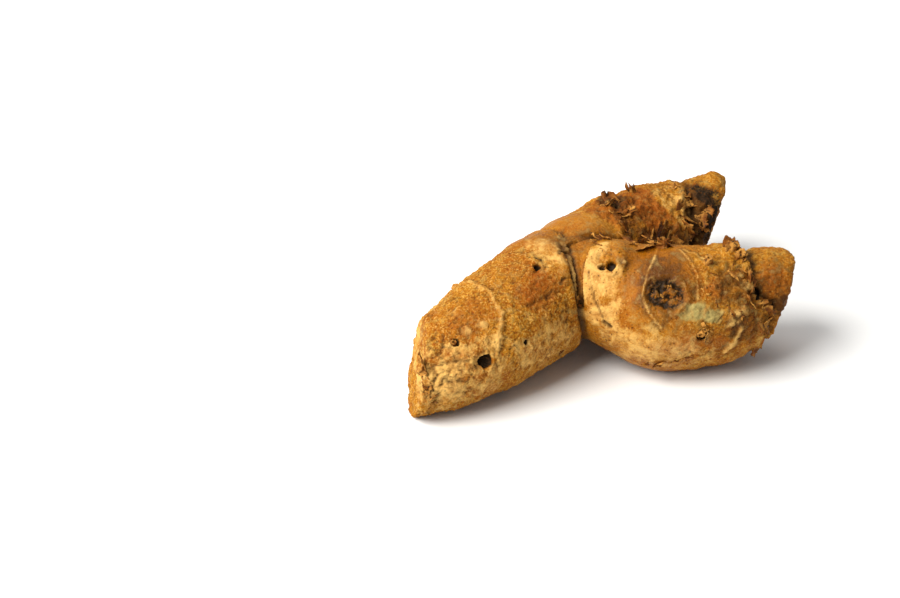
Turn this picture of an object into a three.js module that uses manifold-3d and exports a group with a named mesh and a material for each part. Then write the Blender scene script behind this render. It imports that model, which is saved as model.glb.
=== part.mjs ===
// One fresh piece of lesser galangal rhizome, lying as it rests on a table.
// It is a single grown body: a main axis that runs from a broken near end, over a
// low arch, to a broken far end, and a stout side branch that forks off beside it.
// Millimetres, +Z up. +X runs along the side branch, +Y away from it towards the
// far end. The origin is on the table, at the middle of the footprint.
import * as THREE from "three";
import { mergeVertices } from "three/addons/utils/BufferGeometryUtils.js";
import Module from "manifold-3d";

const wasm = await Module();
wasm.setup();

// Driving dimensions.
const FINGER = 20; // thickness of a well-grown finger
const RESTING_FLAT = 0.25; // how deep the skin is pressed flat where it touches the table
const BREAK_DEPTH = 30; // size of the blocks that take off what lies past a break

// Resolution of the faceted body.
const AROUND = 32;
const CAP_ROWS = 5;
const ROW_STEP = 1.4;
const SCAR_AROUND = 14;
const SCAR_ROWS = 10;

// A station is a point of a branch's axis with the half-width and half-height there,
// both as shares of half the finger thickness.
const station = (x, y, z, wide, tall) => ({
  at: new THREE.Vector3(x, y, z),
  girth: new THREE.Vector2((wide * FINGER) / 2, (tall * FINGER) / 2),
});

// A node is where a leaf scale once ringed the branch: how far along the axis it is, how
// much the girth swells there (or narrows) as a share, and over what length it fades.
const node = (along, swell, fade) => ({ along, swell, fade });

// A root scar is a shallow round pit where a root has come off: how far along the axis it
// is, how far round (degrees, from the side that looks to +Y, over the top), its radius
// and its depth.
const rootScar = (along, round, radius, depth) => ({
  along,
  round: THREE.MathUtils.degToRad(round),
  radius,
  depth,
});

// A broken end is a point of the broken face and the way that face looks.
const brokenEnd = (at, facing) => ({
  at: new THREE.Vector3(...at),
  facing: new THREE.Vector3(...facing).normalize(),
});

const MAIN_AXIS = {
  stations: [
    station(-34.6, -25.6, 4.6, 0.6, 0.5),
    station(-31.0, -22.4, 5.8, 0.64, 0.62),
    station(-27.0, -20.3, 7.0, 0.76, 0.73),
    station(-22.4, -17.2, 8.3, 0.86, 0.83),
    station(-16.4, -11.6, 9.4, 0.95, 0.93),
    station(-11.1, -5.8, 10.3, 0.98, 0.98),
    station(-6.0, 0.0, 10.8, 1.0, 1.0),
    station(-1.2, 6.2, 10.5, 0.91, 0.94),
    station(3.9, 12.8, 9.9, 0.86, 0.92),
    station(9.5, 17.9, 9.3, 0.85, 0.93),
    station(15.5, 21.3, 8.8, 0.81, 0.92),
    station(22.5, 24.4, 8.9, 0.74, 0.9),
  ],
  startRound: 3,
  endRound: 2,
  nodes: [
    node(18.5, 0.03, 1.6),
    node(33.5, 0.035, 1.8),
    node(38.5, -0.04, 2.4),
    node(52.5, 0.04, 1.8),
    node(62.0, 0.03, 1.4),
    node(66.5, -0.05, 2.2),
  ],
  scars: [
    rootScar(11.7, 129, 0.8, 0.4),
    rootScar(13.6, 159, 1.5, 1.1),
    rootScar(20.0, 163, 0.7, 0.4),
    rootScar(28.7, 111, 0.9, 0.7),
    rootScar(27.1, 202, 0.8, 0.4),
    rootScar(22.0, 28, 1.2, 0.5),
    rootScar(41.0, 40, 1.0, 0.5),
    rootScar(55.0, 15, 1.3, 0.6),
    rootScar(18.0, 245, 1.4, 0.6),
    rootScar(36.0, 255, 1.5, 0.7),
    rootScar(56.0, 235, 1.2, 0.5),
  ],
  broken: [
    brokenEnd([-29.8, -22.0, 7], [-0.97, -0.1, 0.2]),
    brokenEnd([20.9, 24.0, 9], [0.93, -0.27, -0.27]),
  ],
};

const SIDE_BRANCH = {
  stations: [
    station(-8.0, -3.4, 12.6, 0.74, 0.76),
    station(-3.0, -4.2, 12.3, 0.82, 0.82),
    station(1.2, -4.9, 11.6, 0.88, 0.88),
    station(5.0, -5.7, 10.7, 0.96, 0.97),
    station(9.4, -6.5, 10.0, 1.02, 1.03),
    station(15.8, -6.3, 9.9, 0.99, 1.0),
    station(21.4, -5.1, 10.6, 0.91, 0.9),
    station(26.2, -4.0, 10.9, 0.81, 0.78),
    station(33.0, -2.6, 11.0, 0.7, 0.66),
  ],
  startRound: 9,
  endRound: 3,
  nodes: [
    node(7.0, 0.03, 1.8),
    node(11.5, -0.03, 2.0),
    node(29.0, 0.04, 1.6),
    node(32.0, -0.03, 1.6),
  ],
  scars: [
    rootScar(7.7, 122, 1.3, 0.8),
    rootScar(17.9, 140, 2.8, 0.5),
    rootScar(23.1, 180, 1.1, 0.6),
    rootScar(31.1, 148, 1.1, 0.8),
    rootScar(21.0, 42, 1.3, 0.5),
    rootScar(13.0, 240, 1.6, 0.6),
    rootScar(25.0, 300, 1.4, 0.5),
  ],
  broken: [brokenEnd([29.6, -3.2, 11], [0.96, -0.12, -0.23])],
};

/** Ways to read a branch at any length along its axis. */
function measure({ stations, nodes }) {
  const axis = new THREE.CatmullRomCurve3(stations.map((s) => s.at));
  const girth = new THREE.SplineCurve(stations.map((s) => s.girth));
  const length = axis.getLength();
  const swellAt = (along) =>
    nodes.reduce((sum, n) => sum + n.swell * Math.exp(-(((along - n.along) / n.fade) ** 2)), 1);
  /** The point at a length and a turn, drawn in towards the axis to a share of the girth. */
  const pointAt = (along, round, share = 1) => {
    const t = axis.getUtoTmapping(along / length);
    const tangent = axis.getTangent(t);
    const side = new THREE.Vector3(0, 0, 1).cross(tangent).normalize();
    const up = tangent.clone().cross(side);
    const half = girth.getPoint(t).multiplyScalar(swellAt(along) * share);
    return axis
      .getPoint(t)
      .addScaledVector(side, half.x * Math.cos(round))
      .addScaledVector(up, half.y * Math.sin(round));
  };
  return { length, pointAt };
}

/** The closed surface of a branch: a sphere's net drawn out along the branch's axis. */
function branchGeometry(branch) {
  const { startRound, endRound } = branch;
  const { length, pointAt } = measure(branch);
  const straight = length - startRound - endRound;
  const bodyRows = Math.round(straight / ROW_STEP);
  const rows = [];
  for (let i = 0; i <= CAP_ROWS; i++) {
    const turn = ((i / CAP_ROWS) * Math.PI) / 2;
    rows.push({ along: startRound * (1 - Math.cos(turn)), share: Math.sin(turn) });
  }
  for (let i = 1; i < bodyRows; i++) {
    rows.push({ along: startRound + (straight * i) / bodyRows, share: 1 });
  }
  for (let i = CAP_ROWS; i >= 0; i--) {
    const turn = ((i / CAP_ROWS) * Math.PI) / 2;
    rows.push({ along: length - endRound * (1 - Math.cos(turn)), share: Math.sin(turn) });
  }
  const net = new THREE.SphereGeometry(1, AROUND, rows.length - 1);
  const place = net.getAttribute("position");
  const column = AROUND + 1;
  for (let k = 0; k < place.count; k++) {
    const { along, share } = rows[Math.floor(k / column)];
    const round = (-(k % column) / AROUND) * Math.PI * 2;
    const point = pointAt(along, round, share);
    place.setXYZ(k, point.x, point.y, point.z);
  }
  return net;
}

/** A manifold-3d solid of a closed geometry. */
function solidOf(geometry) {
  geometry.deleteAttribute("normal");
  geometry.deleteAttribute("uv");
  const merged = mergeVertices(geometry, 1e-4);
  return new wasm.Manifold(
    new wasm.Mesh({
      numProp: 3,
      vertProperties: merged.getAttribute("position").array,
      triVerts: new Uint32Array(merged.index.array),
    }),
  );
}

/** A block that starts at a plane and fills the side that the plane faces. */
function blockPast({ at, facing }) {
  const up = new THREE.Vector3(0, 0, 1);
  const block = new THREE.BoxGeometry(BREAK_DEPTH * 4, BREAK_DEPTH * 4, BREAK_DEPTH);
  block.translate(0, 0, BREAK_DEPTH / 2);
  block.applyQuaternion(new THREE.Quaternion().setFromUnitVectors(up, facing));
  block.translate(at.x, at.y, at.z);
  return block;
}

/** The ball that dishes one root scar out of a branch's skin. */
function scarBall({ pointAt }, { along, round, radius, depth }) {
  const skin = pointAt(along, round);
  const outward = skin.clone().sub(pointAt(along, round, 0)).normalize();
  const ballRadius = (radius ** 2 + depth ** 2) / (2 * depth);
  const centre = skin.addScaledVector(outward, ballRadius - depth);
  const ball = new THREE.SphereGeometry(ballRadius, SCAR_AROUND, SCAR_ROWS);
  ball.translate(centre.x, centre.y, centre.z);
  return ball;
}

/** A branch with its ends broken off. */
function brokenBranch(branch) {
  let body = solidOf(branchGeometry(branch));
  for (const end of branch.broken) {
    body = body.subtract(solidOf(blockPast(end)));
  }
  return body;
}

/** The whole grown body as one geometry, standing on the table. */
function rhizomeGeometry() {
  const branches = [MAIN_AXIS, SIDE_BRANCH];
  let body = brokenBranch(MAIN_AXIS).add(brokenBranch(SIDE_BRANCH));
  for (const branch of branches) {
    const reading = measure(branch);
    for (const scar of branch.scars) {
      body = body.subtract(solidOf(scarBall(reading, scar)));
    }
  }
  const low = body.boundingBox().min[2] + RESTING_FLAT;
  body = body.subtract(solidOf(blockPast(brokenEnd([0, 0, low], [0, 0, -1]))));
  const { min, max } = body.boundingBox();
  body = body.translate([-(min[0] + max[0]) / 2, -(min[1] + max[1]) / 2, -min[2]]);
  const mesh = body.getMesh();
  const geometry = new THREE.BufferGeometry();
  geometry.setAttribute("position", new THREE.BufferAttribute(mesh.vertProperties, 3));
  geometry.setIndex(new THREE.BufferAttribute(mesh.triVerts, 1));
  geometry.computeVertexNormals();
  return geometry;
}

const skin = new THREE.MeshStandardMaterial({
  color: new THREE.Color(0.62, 0.4, 0.17),
  roughness: 0.7,
  metalness: 0,
});

const rhizome = new THREE.Mesh(rhizomeGeometry(), skin);
rhizome.name = "rhizome";

const galangal = new THREE.Group();
galangal.add(rhizome);

export default galangal;
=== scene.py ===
"""A fresh rhizome of lesser galangal, dressed over its CAD frame.

The skin is one closed mesh grown from the CAD node: a fine, even net of faces that is
smoothed and then worked like a carving, with scale rings, root scars, cracks and cork.
Small papery scraps and root stubs are separate pieces that sit in it. Metres, +Z up;
the relief on the skin is worked out in millimetres.
"""

import logging
import math
import random
from dataclasses import dataclass, field
from enum import Enum

import bpy
import numpy as np
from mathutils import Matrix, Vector, noise


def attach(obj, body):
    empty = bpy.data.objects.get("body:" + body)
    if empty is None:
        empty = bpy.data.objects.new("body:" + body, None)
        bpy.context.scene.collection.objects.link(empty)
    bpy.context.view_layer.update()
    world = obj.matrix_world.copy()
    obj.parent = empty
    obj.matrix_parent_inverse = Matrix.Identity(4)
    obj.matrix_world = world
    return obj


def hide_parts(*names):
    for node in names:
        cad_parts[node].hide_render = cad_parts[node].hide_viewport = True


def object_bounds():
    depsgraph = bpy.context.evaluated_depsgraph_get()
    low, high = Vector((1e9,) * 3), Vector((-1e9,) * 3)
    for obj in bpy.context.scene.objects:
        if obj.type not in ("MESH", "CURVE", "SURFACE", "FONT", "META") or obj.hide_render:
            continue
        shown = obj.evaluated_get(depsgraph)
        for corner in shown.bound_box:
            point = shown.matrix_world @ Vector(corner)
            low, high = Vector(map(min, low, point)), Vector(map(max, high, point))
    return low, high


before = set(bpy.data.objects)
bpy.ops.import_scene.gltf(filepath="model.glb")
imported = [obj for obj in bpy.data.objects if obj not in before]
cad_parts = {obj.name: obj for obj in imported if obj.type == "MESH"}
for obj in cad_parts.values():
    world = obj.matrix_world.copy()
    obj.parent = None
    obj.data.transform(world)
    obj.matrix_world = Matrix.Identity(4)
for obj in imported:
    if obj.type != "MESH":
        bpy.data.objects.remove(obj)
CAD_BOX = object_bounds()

LOG = logging.getLogger("galangal")
MM = 0.001
DEEPEST = -2.4  # Limits of the carved relief, in mm.
HIGHEST = 1.6
PROUD_SHARE = 0.012  # How far the relief may pass the CAD box, as a share of each side.
GLOSS = 0.12


class Tint(Enum):
    """What a patch of skin carries; each is a point attribute that the skin finish reads."""

    CRACK = "crack"
    # The hollow tint is painted shade: the finish darkens each point by how deep it lies.
    HOLLOW_SHADE = "hollow"
    CORK = "cork"
    AMBER = "amber"
    ORANGE = "orange"
    BROWN = "brown"
    CHAR = "char"
    PALE = "pale"
    FLESH = "flesh"
    GLAZE = "glaze"
    PORES = "pores"


# --------------------------------------------------------------------------- small tools


def soft_step(value: np.ndarray, low: float, high: float) -> np.ndarray:
    """Ease from 0 at low to 1 at high.

    Args:
        value: What is eased.
        low: Where the step begins.
        high: Where the step ends.

    Returns:
        The eased values, 0 to 1.
    """
    t = np.clip((value - low) / (high - low), 0.0, 1.0)
    return t * t * (3.0 - 2.0 * t)


def bell(distance: np.ndarray, width: float) -> np.ndarray:
    """A bell curve, 1 at no distance and fading over a width."""
    return np.exp(-((distance / width) ** 2))


def cloud(points: np.ndarray, size: float, seed: int, octaves: int = 3) -> np.ndarray:
    """Fractal noise over points in space.

    Args:
        points: Places, in millimetres.
        size: Size of the largest blots, in millimetres.
        seed: Which cloud it is.
        octaves: How many finer layers it has.

    Returns:
        One value for each point, about -1 to 1.
    """
    shift = Vector((seed * 13.7, seed * -7.3, seed * 3.1))
    spots = points / size
    return np.array([noise.fractal(Vector(p) + shift, 0.9, 2.1, octaves) for p in spots])


def cells(points: np.ndarray, size: float, seed: int) -> np.ndarray:
    """How deep inside its cell each point lies, in a foam of cells.

    Args:
        points: Places, in millimetres.
        size: Size of a cell, in millimetres.
        seed: Which foam it is.

    Returns:
        0 on the walls between cells, rising to about 1 inside.
    """
    shift = Vector((seed * 5.3, seed * 9.1, seed * -2.9))
    found = []
    for p in points / size:
        near = noise.voronoi(Vector(p) + shift)[0]
        found.append(near[1] - near[0])
    return np.clip(np.array(found) * 1.6, 0.0, 1.0)


# ------------------------------------------------------------------------------ branches


@dataclass(frozen=True)
class Branch:
    """One arm of the rhizome, measured along its axis and round it.

    Attributes:
        stations: Points of the axis with the mean radius there: x, y, z, radius, in mm.
    """

    stations: tuple[tuple[float, float, float, float], ...]

    def rows(self, per_span: int = 10) -> np.ndarray:
        """The axis drawn smoothly through the stations, as rows of x, y, z, radius."""
        knots = np.array(self.stations)
        before = 2.0 * knots[0] - knots[1]
        after = 2.0 * knots[-1] - knots[-2]
        knots = np.vstack([before, knots, after])
        drawn = []
        for i in range(1, len(knots) - 2):
            p0, p1, p2, p3 = knots[i - 1 : i + 3]
            for t in np.arange(per_span) / per_span:
                bend = 2.0 * p0 - 5.0 * p1 + 4.0 * p2 - p3
                twist = 3.0 * p1 - p0 - 3.0 * p2 + p3
                drawn.append(0.5 * (2.0 * p1 + (p2 - p0) * t + bend * t**2 + twist * t**3))
        drawn.append(knots[-2])
        return np.array(drawn)

    def chart(self, points: np.ndarray) -> tuple[np.ndarray, np.ndarray, np.ndarray]:
        """Measure points against the arm.

        Args:
            points: Places, in millimetres.

        Returns:
            How far along each is (mm), how far round (degrees, from the side that looks
            to +Y, over the top) and how far out, as a share of the radius there.
        """
        rows = self.rows()
        along = np.zeros(len(points))
        round_ = np.zeros(len(points))
        out = np.full(len(points), np.inf)
        best = np.full(len(points), np.inf)
        travelled = 0.0
        for a, b in zip(rows[:-1], rows[1:]):
            step = b[:3] - a[:3]
            length = float(np.linalg.norm(step))
            way = step / length
            t = np.clip((points - a[:3]) @ way / length, 0.0, 1.0)
            spoke = points - a[:3] - t[:, None] * step
            reach = np.linalg.norm(spoke, axis=1)
            side = np.cross((0.0, 0.0, 1.0), way)
            side /= np.linalg.norm(side)
            top = np.cross(way, side)
            nearer = reach < best
            best[nearer] = reach[nearer]
            along[nearer] = travelled + t[nearer] * length
            turn = np.degrees(np.arctan2(spoke[nearer] @ top, spoke[nearer] @ side))
            round_[nearer] = turn % 360.0
            out[nearer] = reach[nearer] / (a[3] + (b[3] - a[3]) * t[nearer])
            travelled += length
        return along, round_, out

    def spot(self, along: float, round_: float) -> tuple[np.ndarray, np.ndarray]:
        """The place on the plain skin at a length and a turn.

        Args:
            along: How far along the axis, in mm.
            round_: How far round, in degrees.

        Returns:
            The place, in mm, and the way that it looks.
        """
        rows = self.rows()
        steps = np.linalg.norm(np.diff(rows[:, :3], axis=0), axis=1)
        marks = np.concatenate([[0.0], np.cumsum(steps)])
        here = np.array([np.interp(along, marks, rows[:, k]) for k in range(4)])
        k = int(np.clip(np.searchsorted(marks, along) - 1, 0, len(rows) - 2))
        way = (rows[k + 1] - rows[k])[:3] / steps[k]
        side = np.cross((0.0, 0.0, 1.0), way)
        side /= np.linalg.norm(side)
        top = np.cross(way, side)
        turn = math.radians(round_)
        outward = side * math.cos(turn) + top * math.sin(turn)
        return here[:3] + outward * here[3], outward


MAIN = Branch(
    (
        (-34.5, -26.6, 4.8, 5.5),
        (-30.9, -23.4, 6.0, 6.3),
        (-26.9, -21.3, 7.2, 7.4),
        (-22.3, -18.2, 8.5, 8.4),
        (-16.3, -12.6, 9.6, 9.4),
        (-11.0, -6.8, 10.5, 9.8),
        (-5.9, -1.0, 11.0, 10.0),
        (-1.1, 5.2, 10.7, 9.2),
        (4.0, 11.8, 10.1, 8.9),
        (9.6, 16.9, 9.5, 8.9),
        (15.6, 20.3, 9.0, 8.6),
        (22.6, 23.4, 9.1, 8.2),
    ),
)
SIDE = Branch(
    (
        (-7.9, -4.4, 12.8, 7.5),
        (-2.9, -5.2, 12.5, 8.2),
        (1.3, -5.9, 11.8, 8.8),
        (5.1, -6.7, 10.9, 9.6),
        (9.5, -7.5, 10.2, 10.2),
        (15.9, -7.3, 10.1, 10.0),
        (21.5, -6.1, 10.8, 9.1),
        (26.3, -5.0, 11.1, 8.0),
        (33.1, -3.6, 11.2, 6.8),
    ),
)


# ------------------------------------------------------------------- the skin and its marks


class SkinField:
    """The skin's net of points, with the relief and the tints laid on it.

    Attributes:
        points: Places of the points, in mm.
        normals: The way each point looks.
        along, round: Each point's chart on its own arm.
        on_side: True where the point belongs to the side branch.
        height: Relief over the plain skin, in mm.
        tints: For each tint, how strong it is at each point, 0 to 1.
    """

    def __init__(self, points: np.ndarray, normals: np.ndarray) -> None:
        """Chart the points on both arms and start with bare skin."""
        self.points = points
        self.normals = normals
        main = MAIN.chart(points)
        side = SIDE.chart(points)
        # A point belongs to the arm whose own girth it lies on.
        self.on_side = np.abs(side[2] - 1.0) < np.abs(main[2] - 1.0)
        self.along = np.where(self.on_side, side[0], main[0])
        self.round = np.where(self.on_side, side[1], main[1])
        # 1 in the crease of the fork, where both arms' girths meet.
        both = np.maximum(np.abs(side[2] - 1.0), np.abs(main[2] - 1.0))
        self.fork = bell(both, 0.16)
        self.seam = bell(both, 0.045)
        self.height = np.zeros(len(points))
        self.tints = {tint: np.zeros(len(points)) for tint in Tint}

    def of(self, branch: Branch) -> np.ndarray:
        """Which points belong to a branch, as 0 or 1."""
        mine = self.on_side if branch is SIDE else ~self.on_side
        return mine.astype(float)

    def add(self, tint: Tint, amount: np.ndarray) -> None:
        """Lay more of a tint on the skin, up to full strength."""
        self.tints[tint] = np.clip(self.tints[tint] + amount, 0.0, 1.0)

    def wipe(self, tint: Tint, amount: np.ndarray) -> None:
        """Take a tint off the skin where amount is 1."""
        self.tints[tint] = self.tints[tint] * (1.0 - np.clip(amount, 0.0, 1.0))

    def snap(self, place: np.ndarray) -> np.ndarray:
        """The point of the net that is nearest to a place."""
        return self.points[np.argmin(((self.points - place) ** 2).sum(axis=1))]

    def trail(self, branch: Branch, path: tuple[tuple[float, float], ...]) -> np.ndarray:
        """A line drawn on the skin.

        Args:
            branch: The arm that it is drawn on.
            path: Its corners, each how far along (mm) and how far round (degrees).

        Returns:
            Close-set places on the skin, in mm.
        """
        corners = np.array(path)
        places = []
        for a, b in zip(corners[:-1], corners[1:]):
            reach = math.hypot(b[0] - a[0], math.radians(b[1] - a[1]) * 9.0)
            count = max(2, int(reach / 0.2))
            for t in np.arange(count) / count:
                at = a + (b - a) * t
                places.append(branch.spot(at[0], at[1])[0])
        return np.array(places)

    def distance(self, places: np.ndarray, reach: float) -> np.ndarray:
        """How far each point is, along the skin, from the nearest of some places.

        Args:
            places: The places, in mm.
            reach: How far it matters.

        Returns:
            The distances, in mm; past the reach they are twice the reach.
        """
        low = places.min(axis=0) - reach - 1.0
        high = places.max(axis=0) + reach + 1.0
        near = np.all((self.points > low) & (self.points < high), axis=1)
        found = np.full(len(self.points), reach * 2.0)
        some = self.points[near]
        looks = self.normals[near]
        least = np.full(len(some), np.inf)
        for place in places:
            gap = some - place
            rise = (gap * looks).sum(axis=1)
            gone = (gap**2).sum(axis=1) - 0.93 * rise**2
            least = np.minimum(least, gone)
        found[near] = np.sqrt(least)
        return found


@dataclass(frozen=True)
class Swelling:
    """A rounded bump or dent.

    Attributes:
        branch: The arm that it is on.
        along, round: Its middle: mm along the arm, degrees round it.
        radius: How wide it is, in mm.
        height: How far it stands out (or in, below 0), in mm.
    """

    branch: Branch
    along: float
    round: float
    radius: float
    height: float

    def mark(self, skin: SkinField) -> None:
        """Raise the skin."""
        middle = skin.snap(self.branch.spot(self.along, self.round)[0])
        away = np.linalg.norm(skin.points - middle, axis=1)
        skin.height += self.height * bell(away, self.radius)


@dataclass(frozen=True)
class ScaleRing:
    """The ring that a leaf scale leaves round an arm.

    Attributes:
        branch: The arm that it rings.
        path: Where it runs: pairs of mm along and degrees round, once round the arm.
        ridge: Height of the raised line, in mm.
        width: Half-width of the line, in mm.
        groove: Depth of the furrow past the line, in mm.
        step: How much lower the skin lies past the ring, in mm.
        pale: How pale the raised line is.
        dark: How dark the furrow is.
        ragged: How far the line strays, in mm.
        strong: The turns between which it stands out; it fades outside them, in degrees.
    """

    branch: Branch
    path: tuple[tuple[float, float], ...]
    ridge: float = 0.25
    width: float = 0.5
    groove: float = 0.2
    step: float = 0.0
    pale: float = 0.6
    dark: float = 0.4
    ragged: float = 0.25
    strong: tuple[float, float] = (-30.0, 390.0)

    def line(self, round_: np.ndarray) -> np.ndarray:
        """How far along the ring lies at each turn."""
        turns = [p[1] for p in self.path]
        alongs = [p[0] for p in self.path]
        return np.interp(round_, turns, alongs, period=360.0)

    def mark(self, skin: SkinField) -> None:
        """Carve and tint the ring."""
        stray = self.ragged * cloud(skin.points, 2.2, 11, 3)
        past = (skin.along - self.line(skin.round) + stray) * 0.85
        mine = skin.of(self.branch)
        uneven = 0.75 + 0.35 * cloud(skin.points, 4.0, 12, 2)
        first, last = self.strong
        faded = soft_step(skin.round, first - 12.0, first)
        faded -= soft_step(skin.round, last, last + 15.0)
        uneven *= 0.25 + 0.75 * faded
        crest = bell(past, self.width) * mine * uneven
        furrow = bell(past - 1.7 * self.width, 0.8 * self.width) * mine * uneven
        drop = soft_step(past, -0.5, 0.6) * (1.0 - soft_step(past, 1.5, 5.0)) * mine
        skin.height += self.ridge * crest - self.groove * furrow - self.step * drop
        skin.add(Tint.PALE, self.pale * crest)
        skin.add(Tint.CRACK, self.dark * furrow)


@dataclass(frozen=True)
class RootScar:
    """The pit where a root came off.

    Attributes:
        branch: The arm that it is on.
        along, round: Its middle: mm along the arm, degrees round it.
        radius: Radius of the pit, in mm.
        depth: How deep it is, in mm.
        rim: Height of the corky rim, in mm.
        plug: How much of the pit the dead root's fibres fill, 0 to 1.
        dark: How dark the pit is.
        halo: How strong the brown halo round it is.
    """

    branch: Branch
    along: float
    round: float
    radius: float
    depth: float = 0.5
    rim: float = 0.15
    plug: float = 0.0
    dark: float = 0.8
    halo: float = 0.3

    def mark(self, skin: SkinField) -> None:
        """Carve and tint the scar."""
        middle = skin.snap(self.branch.spot(self.along, self.round)[0])
        away = np.linalg.norm(skin.points - middle, axis=1)
        near = away < self.radius * 3.0
        spots = skin.points[near]
        wobble = 1.0 + 0.3 * cloud(spots, 0.5 + self.radius * 0.8, int(self.along) + 3, 3)
        share = away[near] / self.radius * wobble
        pit = 1.0 - soft_step(share, 0.62, 1.04)
        rim = bell(share - 1.16, 0.2) * (0.6 + 0.6 * cloud(spots, 1.1, 23, 2))
        coils = 0.9 * np.cos(share * 14.0 + 3.5 * cloud(spots, 1.3, 21, 3))
        shreds = cloud(spots, 0.7, 22, 4)
        filled = self.plug * (1.0 - soft_step(share, 0.7, 0.95))
        rise = -self.depth * pit + self.rim * rim
        rise += filled * (self.depth * 0.5 + 0.18 * coils + 0.45 * shreds)
        skin.height[near] += rise
        amount = np.zeros(len(skin.points))
        amount[near] = self.dark * (1.0 - soft_step(share, 0.72, 1.02))
        amount[near] *= 1.0 - 0.7 * filled * soft_step(coils * 0.5 + shreds, -0.2, 0.6)
        skin.add(Tint.CHAR, amount)
        amount[near] = 0.35 * rim
        skin.add(Tint.PALE, amount)
        amount[near] = self.halo * bell(share - 1.0, 0.9)
        skin.add(Tint.BROWN, amount)


@dataclass(frozen=True)
class Crack:
    """A split or furrow in the skin.

    Attributes:
        branch: The arm that it is on.
        path: Its corners, each mm along and degrees round.
        width: Half-width, in mm.
        depth: Depth, in mm.
        lip: Height of the lips beside it, in mm.
        dark: How dark it is.
        ragged: How far it strays, in mm.
    """

    branch: Branch
    path: tuple[tuple[float, float], ...]
    width: float = 0.35
    depth: float = 0.35
    lip: float = 0.08
    dark: float = 0.8
    ragged: float = 0.3

    def mark(self, skin: SkinField) -> None:
        """Carve and tint the crack."""
        places = skin.trail(self.branch, self.path)
        reach = 4.0 * self.width + self.ragged + 0.5
        away = skin.distance(places, reach)
        near = away < reach
        spots = skin.points[near]
        stray = self.ragged * np.abs(cloud(spots, 1.2, 31, 2))
        gap = away[near] - stray * 0.6
        cut = bell(np.maximum(gap, 0.0), self.width)
        lips = bell(gap - 2.1 * self.width, 0.9 * self.width)
        skin.height[near] += self.lip * lips - self.depth * cut
        amount = np.zeros(len(skin.points))
        amount[near] = self.dark * cut * soft_step(cloud(spots, 2.0, 33, 3), -0.7, 0.3)
        skin.add(Tint.CRACK, amount)


@dataclass(frozen=True)
class Welt:
    """A fine raised line in the skin, such as the edge of a healed tear.

    Attributes:
        branch: The arm that it is on.
        path: Its corners, each mm along and degrees round.
        width: Half-width, in mm.
        height: Height, in mm.
        pale: How pale it is.
    """

    branch: Branch
    path: tuple[tuple[float, float], ...]
    width: float = 0.2
    height: float = 0.1
    pale: float = 0.5

    def mark(self, skin: SkinField) -> None:
        """Raise and tint the line."""
        places = skin.trail(self.branch, self.path)
        away = skin.distance(places, 2.0)
        crest = bell(away, self.width)
        skin.height += self.height * crest
        skin.add(Tint.PALE, self.pale * crest)
        skin.add(Tint.CRACK, 0.3 * bell(away - 2.2 * self.width, self.width))


@dataclass(frozen=True)
class Patch:
    """A blot of a tint, with a clouded edge.

    Attributes:
        branch: The arm that it is on.
        along, round: Its middle: mm along the arm, degrees round it.
        reach: Half its length along the arm, in mm.
        spread: Half its width round the arm, in degrees.
        tint: What it carries.
        strength: How strong it is.
        clear: Tints that it takes the place of.
        edge: How broken its edge is.
        coarse: Height of the coarse relief inside it, in mm.
    """

    branch: Branch
    along: float
    round: float
    reach: float
    spread: float
    tint: Tint
    strength: float = 0.8
    clear: tuple[Tint, ...] = ()
    edge: float = 0.45
    coarse: float = 0.0

    def share(self, skin: SkinField) -> np.ndarray:
        """How far inside the patch each point is, 0 to 1."""
        turn = (skin.round - self.round + 180.0) % 360.0 - 180.0
        away = np.hypot((skin.along - self.along) / self.reach, turn / self.spread)
        seed = int(self.along * 3 + self.round) % 97
        away += self.edge * cloud(skin.points, 3.0, seed, 4)
        return (1.0 - soft_step(away, 0.45, 1.25)) * skin.of(self.branch)

    def mark(self, skin: SkinField) -> None:
        """Tint the skin, and roughen it if the patch is coarse."""
        share = self.share(skin)
        for tint in self.clear:
            skin.wipe(tint, share)
        skin.add(self.tint, self.strength * share)
        if self.coarse:
            skin.height += self.coarse * share * cloud(skin.points, 1.3, 41, 4)


# --------------------------------------------------------------------------- the finishes


def linear(red: int, green: int, blue: int) -> tuple[float, float, float, float]:
    """A colour named in the usual 0 to 255 steps, as the shader wants it."""
    parts = []
    for value in (red, green, blue):
        share = value / 255.0
        parts.append(share / 12.92 if share <= 0.04045 else ((share + 0.055) / 1.055) ** 2.4)
    return (*parts, 1.0)


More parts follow.
